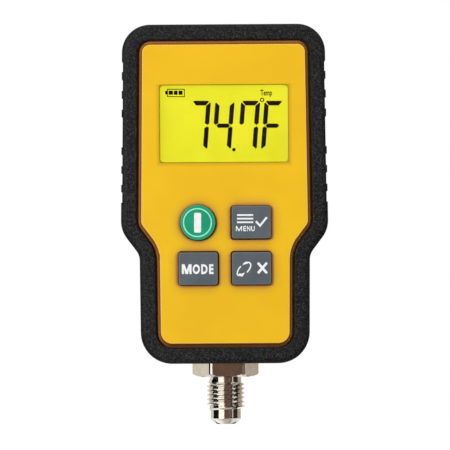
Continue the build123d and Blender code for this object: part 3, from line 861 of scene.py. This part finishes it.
fitting = {
    "flats": 17.0,
    "turn": 3.0,
    "faceDiameter": 16.4,
    "chamferAngle": 30,
    "hexBottom": 8.6,
    "hexTop": 14.85,
    "hexInside": 5.0,  # radius, hidden in the turned body
    "hexSteps": 48,  # a vertex falls on each corner, which leaves room for its rounding
    "barSpare": 0.1,  # how far the bar's radius passes the corners
    "cornerRound": 0.65,
    "cornerSpare": 0.05,  # an edge this near a corner's radius is rounded
    "flatArea": 20,  # square millimetres; only the six flats are larger
    "steps": 96,
    "sharpAngle": 18,
    "crest": 11.11,
    "crestFlat": 0.12,  # half its width
    "root": 9.62,
    "rootSunk": 0.05,
    "pitch": 1.27,
    "ridgeFoot": 0.98,  # share of the pitch
    "turns": 6.12,
    "stepsPerTurn": 72,
    "threadStart": -0.535,
    "fadeIn": 30,  # steps over which the ridge rises, and the same at its end
    "fadeOut": 20,
}
fittingProfile = [  # radius and height, up the outside and down the bore
    (2.38, -5.05), (2.5, -5.15), (2.75, -5.15), (2.9, -5.08), (4.38, -3.62), (4.45, -3.5), (4.45, -0.7),
    (4.81, -0.3), (4.81, 6.6), (4.62, 7.0), (4.62, 8.7), (5.2, 8.9), (5.2, 14.6), (6.0, 14.7), (6.0, 23.75),
    (5.7, 24.05), (4.4, 24.05), (4.4, 15.55), (2.38, 15.55),
]


def spinRing(bm, points, steps):
    # a closed outline in radius and height, turned all the way round
    corners = [bm.verts.new((radius, 0, height)) for radius, height in points]
    sweep(bm, corners + closedLine(bm, corners), 2 * pi, steps, closed=True)
    bmesh.ops.remove_doubles(bm, verts=bm.verts, dist=mergeDistance)


def makeHexagon():
    # a round bar chamfered in the lathe, then six flats milled off it
    bm = bmesh.new()
    flat = fitting["flats"] / 2
    corner = flat / cos(pi / 6)
    bar = corner + fitting["barSpare"]
    end = fitting["faceDiameter"] / 2
    inside = fitting["hexInside"]
    low, high = fitting["hexBottom"], fitting["hexTop"]
    chamferTop = low + (bar - end) * tan(radians(fitting["chamferAngle"]))
    outline = [(inside, low), (end, low), (bar, chamferTop), (bar, high), (inside, high)]
    spinRing(bm, outline, fitting["hexSteps"])
    turnAll(bm, fitting["turn"], "Z")
    for side in range(6):
        angle = radians(fitting["turn"] - 90 + 60 * side)
        normal = Vector((cos(angle), sin(angle), 0))
        cut = bmesh.ops.bisect_plane(bm, geom=bm.verts[:] + bm.edges[:] + bm.faces[:], dist=0.0001,
                                     plane_co=normal * flat, plane_no=normal, clear_outer=True)
        bmesh.ops.contextual_create(bm, geom=edgesOf(cut["geom_cut"]))
    corners = []
    for edge in bm.edges:
        first, second = edge.verts
        upright = abs(first.co.z - second.co.z) > 1
        if upright and hypot(first.co.x, first.co.y) > corner - fitting["cornerSpare"]:
            corners.append(edge)
    bmesh.ops.bevel(bm, geom=corners, offset=fitting["cornerRound"], offset_type="OFFSET", segments=4,
                    profile=0.5, affect="EDGES", clamp_overlap=True, material=-1)
    flats = [face for face in bm.faces
             if face.calc_area() > fitting["flatArea"] and abs(face.normal.z) < 0.1]
    for edge in {edge for face in flats for edge in face.edges}:
        edge.smooth = False
    return bm


def makeThreadRidge():
    # a 60 degree ridge wound round the root, running out into it at both ends
    bm = bmesh.new()
    root = fitting["root"] / 2 - fitting["rootSunk"]
    crest = fitting["crest"] / 2
    foot = fitting["pitch"] / 2 * fitting["ridgeFoot"]
    start, flat = fitting["threadStart"], fitting["crestFlat"]
    outline = [(root, start - foot), (crest, start - flat), (crest, start + flat), (root, start + foot)]
    corners = [bm.verts.new((-radius, 0, height)) for radius, height in outline]
    steps = int(fitting["stepsPerTurn"] * fitting["turns"])
    climb = fitting["pitch"] / fitting["stepsPerTurn"]

    def runOut(radius, row):
        fade = min(1, row / fitting["fadeIn"], (steps - row) / fitting["fadeOut"])
        return root + (radius - root) * fade

    coil(bm, corners, closedLine(bm, corners), climb, fitting["turns"], steps, runOut)
    return bm


def makeFitting():
    bm = bmesh.new()
    spinRing(bm, fittingProfile, fitting["steps"])
    addTo(bm, makeHexagon())
    addTo(bm, makeThreadRidge())
    piece = finishPiece("flareFitting", bm, "nickelPlate", "gauge", fitting["sharpAngle"])
    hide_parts("flare_fitting")


makeFitting()
print("fitting made")


# screws in the back, with cross recesses

screws = {
    "headHeights": {"case_screw_upper_left": 1.8, "case_screw_upper_right": 1.8,
                    "case_screw_lower_left": 1.8, "case_screw_lower_right": 1.8, "door_screw": 1.4},
    "headDiameter": 5.0,
    "headSteps": 48,
    "shankDiameter": 2.5,
    "rounding": 0.6,
    "roundingSteps": 4,
    "tipLength": 0.5,
    "tipShare": 0.6,  # of the shank's diameter
    "recessLength": 2.9,
    "recessWidth": 0.75,
    "recessDepth": 1.0,
    "recessTaper": 0.55,
    "turns": (7, 3),  # degrees per millimetre of x and z, so that no two recesses stand alike
}


def pushRing(bm, edges, radiusShare, shift):
    # extrudes a ring of edges, then scales it about the axis and moves it along
    made = bmesh.ops.extrude_edge_only(bm, edges=edges)
    bmesh.ops.scale(bm, vec=(radiusShare, 1, radiusShare), verts=vertsOf(made))
    bmesh.ops.translate(bm, vec=(0, shift, 0), verts=vertsOf(made))
    return edgesOf(made["geom"])


def makeScrew(node):
    low, high = boxOf(node)
    bm = bmesh.new()
    rounding, steps = screws["rounding"], screws["roundingSteps"]
    topRadius = screws["headDiameter"] / 2 - rounding
    bmesh.ops.create_circle(bm, cap_ends=False, segments=screws["headSteps"], radius=topRadius,
                            matrix=Matrix.Rotation(pi / 2, 4, "X"))
    ring = bm.edges[:]
    long, wide = screws["recessLength"] / 2, screws["recessWidth"] / 2
    quarter = [(long, wide), (wide, wide), (wide, long)]
    corners = []
    for side in range(4):
        corners += [bm.verts.new((x, 0, z)) for x, z in quarter]
        quarter = [(-z, x) for x, z in quarter]
    cross = closedLine(bm, corners)
    bmesh.ops.triangle_fill(bm, use_beauty=True, use_dissolve=False, edges=ring + cross)
    floor = pushRing(bm, cross, screws["recessTaper"], -screws["recessDepth"])
    bmesh.ops.contextual_create(bm, geom=floor)

    radius = topRadius
    for step in range(1, steps + 1):
        before, angle = (step - 1) * pi / (2 * steps), step * pi / (2 * steps)
        wider = topRadius + rounding * sin(angle)
        ring = pushRing(bm, ring, wider / radius, rounding * (cos(angle) - cos(before)))
        radius = wider
    headHeight, tip = screws["headHeights"][node], screws["tipLength"]
    shank = high.y - low.y - headHeight
    for share, shift in [(1, -(headHeight - rounding)), (screws["shankDiameter"] / 2 / radius, 0),
                         (1, -(shank - tip)), (screws["tipShare"], -tip)]:
        ring = pushRing(bm, ring, share, shift)
    bmesh.ops.contextual_create(bm, geom=ring)
    turnX, turnZ = screws["turns"]
    turnAll(bm, (low.x * turnX + low.z * turnZ) % 90, "Y")
    centre = (low + high) / 2
    bmesh.ops.translate(bm, vec=(centre.x, high.y, centre.z), verts=bm.verts)
    piece = finishPiece(camelName(node), bm, "zincSteel", "gauge")
    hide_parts(node)


for screwNode in screws["headHeights"]:
    makeScrew(screwNode)
print("screws made")


# coil springs under the cells

spring = {
    "footUp": {"spring_left": False, "spring_middle": True, "spring_right": False},
    "wire": 0.7,
    "wireSteps": 10,
    "turns": 4.5,
    "stepsPerTurn": 28,
    "foot": 7.6,
    "top": 4.6,
}


def makeSpring(node, footUp):
    low, high = boxOf(node)
    bm = bmesh.new()
    wire = spring["wire"] / 2
    foot = spring["foot"] / 2 - wire
    top = spring["top"] / 2 - wire
    steps = int(spring["turns"] * spring["stepsPerTurn"])
    climb = (high.z - low.z - 2 * wire) / steps
    upright = Matrix.Translation((foot, 0, wire)) @ Matrix.Rotation(pi / 2, 4, "X")
    made = bmesh.ops.create_circle(bm, cap_ends=False, segments=spring["wireSteps"], radius=wire,
                                   matrix=upright)

    def narrow(radius, row):
        return radius + (top - foot) * (row / steps)

    coil(bm, made["verts"], bm.edges[:], climb, spring["turns"], steps, narrow)
    if footUp:
        bmesh.ops.scale(bm, vec=(1, -1, -1), verts=bm.verts)
        bmesh.ops.translate(bm, vec=(0, 0, high.z - low.z), verts=bm.verts)
    centre = (low + high) / 2
    bmesh.ops.translate(bm, vec=(centre.x, centre.y, low.z), verts=bm.verts)
    piece = finishPiece(camelName(node), bm, "contactPlate", "gauge")
    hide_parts(node)


for springNode, footUp in spring["footUp"].items():
    makeSpring(springNode, footUp)
print("springs made")


# floor, world and lamps

studio = {
    "floorHeight": -20,
    "floorRadius": 9000,
    "floorColour": tint(140, 140, 140),
    "floorRoughness": 0.9,
    "floorGlow": 0.86,
    "ambient": 0.55,
    "cardRadius": 1500,
    "cardRise": 1300,
    "cardHeight": -19.4,  # of the strip on the floor that each card starts with
    "cardFoot": 40,  # how near the axis that strip starts
    "frontFoot": 15.5,  # the same, for the cards within frontAngle of straight ahead
    "frontAngle": 60,
    "cardSteps": 12,
    "mottle": 0.6,
    "mottleSize": 20,
    "lampTarget": (0, 0, 60),
}
cards = [  # first and last angle from straight ahead, colour, strength
    ("cardBrown", -12, 36, tint(106, 80, 68), 1.0),
    ("cardBright", -54, -12, tint(255, 252, 246), 1.3),
    ("cardBlack", -105, -54, tint(14, 14, 13), 1.0),
    ("cardLeft", -150, -105, tint(222, 216, 202), 1.0),
    ("cardDim", 36, 51, tint(44, 34, 30), 1.0),
    ("cardSpark", 51, 55, tint(255, 252, 246), 1.2),
    ("cardDark", 55, 100, tint(52, 40, 34), 1.0),
    ("cardRight", 100, 150, tint(186, 174, 160), 1.0),
]
underCards = [  # half outline on the floor in x and y, mirrored; height above the others; colour
    ("cardNose", [(0, -14), (8, -10), (14, -2), (18, 10), (15, 16), (0, 20)], -0.2, tint(226, 222, 214)),
    ("cardThread", [(0, -1), (8, 1.5), (11.5, 5), (15.5, 13), (19, 28), (23, 50), (20, 47), (16.5, 24.5),
                    (12, 13.5), (6, 8), (0, 5)], 0, tint(30, 27, 25)),
]
lamps = [  # place, size, watts, colour
    ("lampKey", (-1000, -1500, 480), 600, 18.5, (1.0, 0.985, 0.96)),
    ("lampFill", (1200, -1500, 480), 900, 10.5, (0.97, 0.985, 1.0)),
]


def glowMaterial(name, colour, strength):
    # a little uneven, as what stands round a studio is
    material = bpy.data.materials.new(name)
    nodes, links = treeOf(material)
    nodes.remove(nodes["Principled BSDF"])
    emission = nodes.new("ShaderNodeEmission")
    emission.inputs["Color"].default_value = colour
    noise = nodes.new("ShaderNodeTexNoise")
    noise.inputs["Scale"].default_value = 1 / (studio["mottleSize"] * mm)
    links.new(nodes.new("ShaderNodeTexCoord").outputs["Object"], noise.inputs["Vector"])
    weakest, strongest = strength * (1 - studio["mottle"]), strength * (1 + studio["mottle"])
    uneven = mapRange(nodes, links, noise.outputs["Fac"], *noiseRange, weakest, strongest)
    links.new(uneven, emission.inputs["Strength"])
    links.new(emission.outputs["Emission"], nodes["Material Output"].inputs["Surface"])
    return material


def seenRays(nodes, links):
    # 1 for what the camera sees directly, in gloss or through glass
    path = nodes.new("ShaderNodeLightPath")
    seen = path.outputs["Is Camera Ray"]
    for ray in ("Is Glossy Ray", "Is Transmission Ray"):
        seen = reckon(nodes, links, "MAXIMUM", seen, path.outputs[ray])
    return seen


def stagePiece(name, bm, material):
    bmesh.ops.scale(bm, vec=(mm, mm, mm), verts=bm.verts)
    mesh = bpy.data.meshes.new(name)
    bm.to_mesh(mesh)
    bm.free()
    mesh.materials.append(material)
    piece = bpy.data.objects.new(name, mesh)
    scene.collection.objects.link(piece)
    return piece


def makeFloor():
    material = bpy.data.materials.new("paleFloor")
    nodes, links = treeOf(material)
    shader = nodes["Principled BSDF"]
    shader.inputs["Base Color"].default_value = studio["floorColour"]
    shader.inputs["Roughness"].default_value = studio["floorRoughness"]
    shader.inputs["Specular IOR Level"].default_value = 0
    shader.inputs["Emission Color"].default_value = (1, 1, 1, 1)
    strength = reckon(nodes, links, "MULTIPLY", seenRays(nodes, links), studio["floorGlow"])
    links.new(strength, shader.inputs["Emission Strength"])
    bm = bmesh.new()
    bmesh.ops.create_circle(bm, cap_ends=True, segments=64, radius=studio["floorRadius"],
                            matrix=Matrix.Translation((0, 0, studio["floorHeight"])))
    stagePiece("floor", bm, material)


def makeWorld():
    world = bpy.data.worlds.new("studioWorld")
    scene.world = world
    nodes, links = treeOf(world)
    background = nodes["Background"]
    background.inputs["Color"].default_value = (1, 1, 1, 1)
    strength = mapRange(nodes, links, seenRays(nodes, links), 0, 1, studio["ambient"], 1)
    links.new(strength, background.inputs["Strength"])


def hideCard(card):
    # only gloss and glass see a card
    card.visible_camera = False
    card.visible_diffuse = False
    card.visible_volume_scatter = False
    card.visible_shadow = False


def makeCards():
    # cards that stand in front and beside, then two that lie under the fitting
    radius, height = studio["cardRadius"], studio["cardHeight"]
    for name, start, end, colour, strength in cards:
        bm = bmesh.new()
        ahead = abs(start + end) / 2 < studio["frontAngle"]
        foot = studio["frontFoot"] if ahead else studio["cardFoot"]
        near = bm.verts.new((0, -foot, height))
        low = bm.verts.new((0, -radius, height))
        high = bm.verts.new((0, -radius, studio["cardRise"]))
        edges = [bm.edges.new((near, low)), bm.edges.new((low, high))]
        turnAll(bm, start, "Z")
        sweep(bm, [near, low, high] + edges, radians(end - start), studio["cardSteps"])
        hideCard(stagePiece(name, bm, glowMaterial(name, colour, strength)))
    for name, half, rise, colour in underCards:
        bm = bmesh.new()
        outline = half + [(-x, y) for x, y in half[-2:0:-1]]
        bm.faces.new([bm.verts.new((x, y, height + rise)) for x, y in outline])
        hideCard(stagePiece(name, bm, glowMaterial(name, colour, 1)))


def makeLamps():
    target = Vector(studio["lampTarget"])
    for name, place, size, watts, colour in lamps:
        lamp = bpy.data.lights.new(name, "AREA")
        lamp.shape = "DISK"
        lamp.size = size * mm
        lamp.energy = watts
        lamp.color = colour
        holder = bpy.data.objects.new(name, lamp)
        scene.collection.objects.link(holder)
        holder.location = Vector(place) * mm
        holder.rotation_euler = (target - Vector(place)).to_track_quat("-Z", "Y").to_euler()


makeFloor()
makeWorld()
makeCards()
makeLamps()
scene.view_settings.view_transform = "Standard"
print("studio made")
